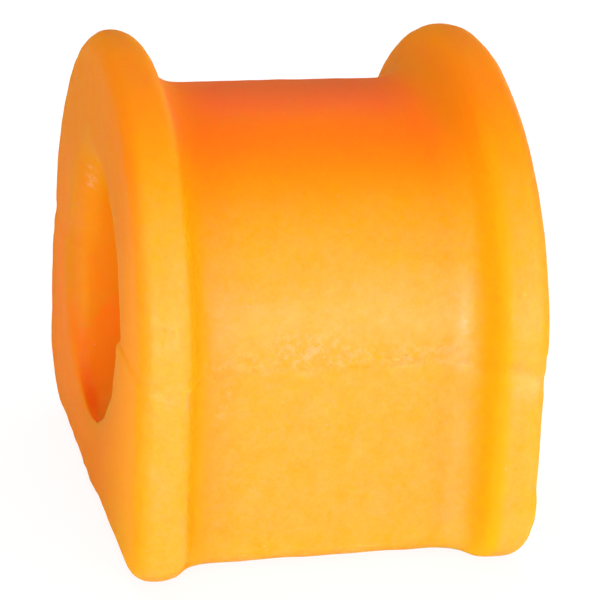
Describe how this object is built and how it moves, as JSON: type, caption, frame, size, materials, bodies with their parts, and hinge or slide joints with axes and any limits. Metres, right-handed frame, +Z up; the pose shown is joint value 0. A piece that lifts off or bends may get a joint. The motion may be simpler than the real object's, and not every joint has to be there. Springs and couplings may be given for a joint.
{
  "type": "sway bar bushing",
  "caption": "Moulded sway bar bushing: half-round saddle on a flat base between two rounded end flanges, with a through bore for the bar.",
  "frame": {"origin": "centre of the flat base, under the middle of the bore", "axes": "+X along the bore, the way of the bar; +Y across the bar; +Z up from the base through the saddle's crown"},
  "size_m": [0.0346, 0.049, 0.042],
  "materials": {
    "polyurethane": "satin"
  },
  "bodies": {
    "root": {"bushing": "polyurethane"}
  },
  "joints": []
}
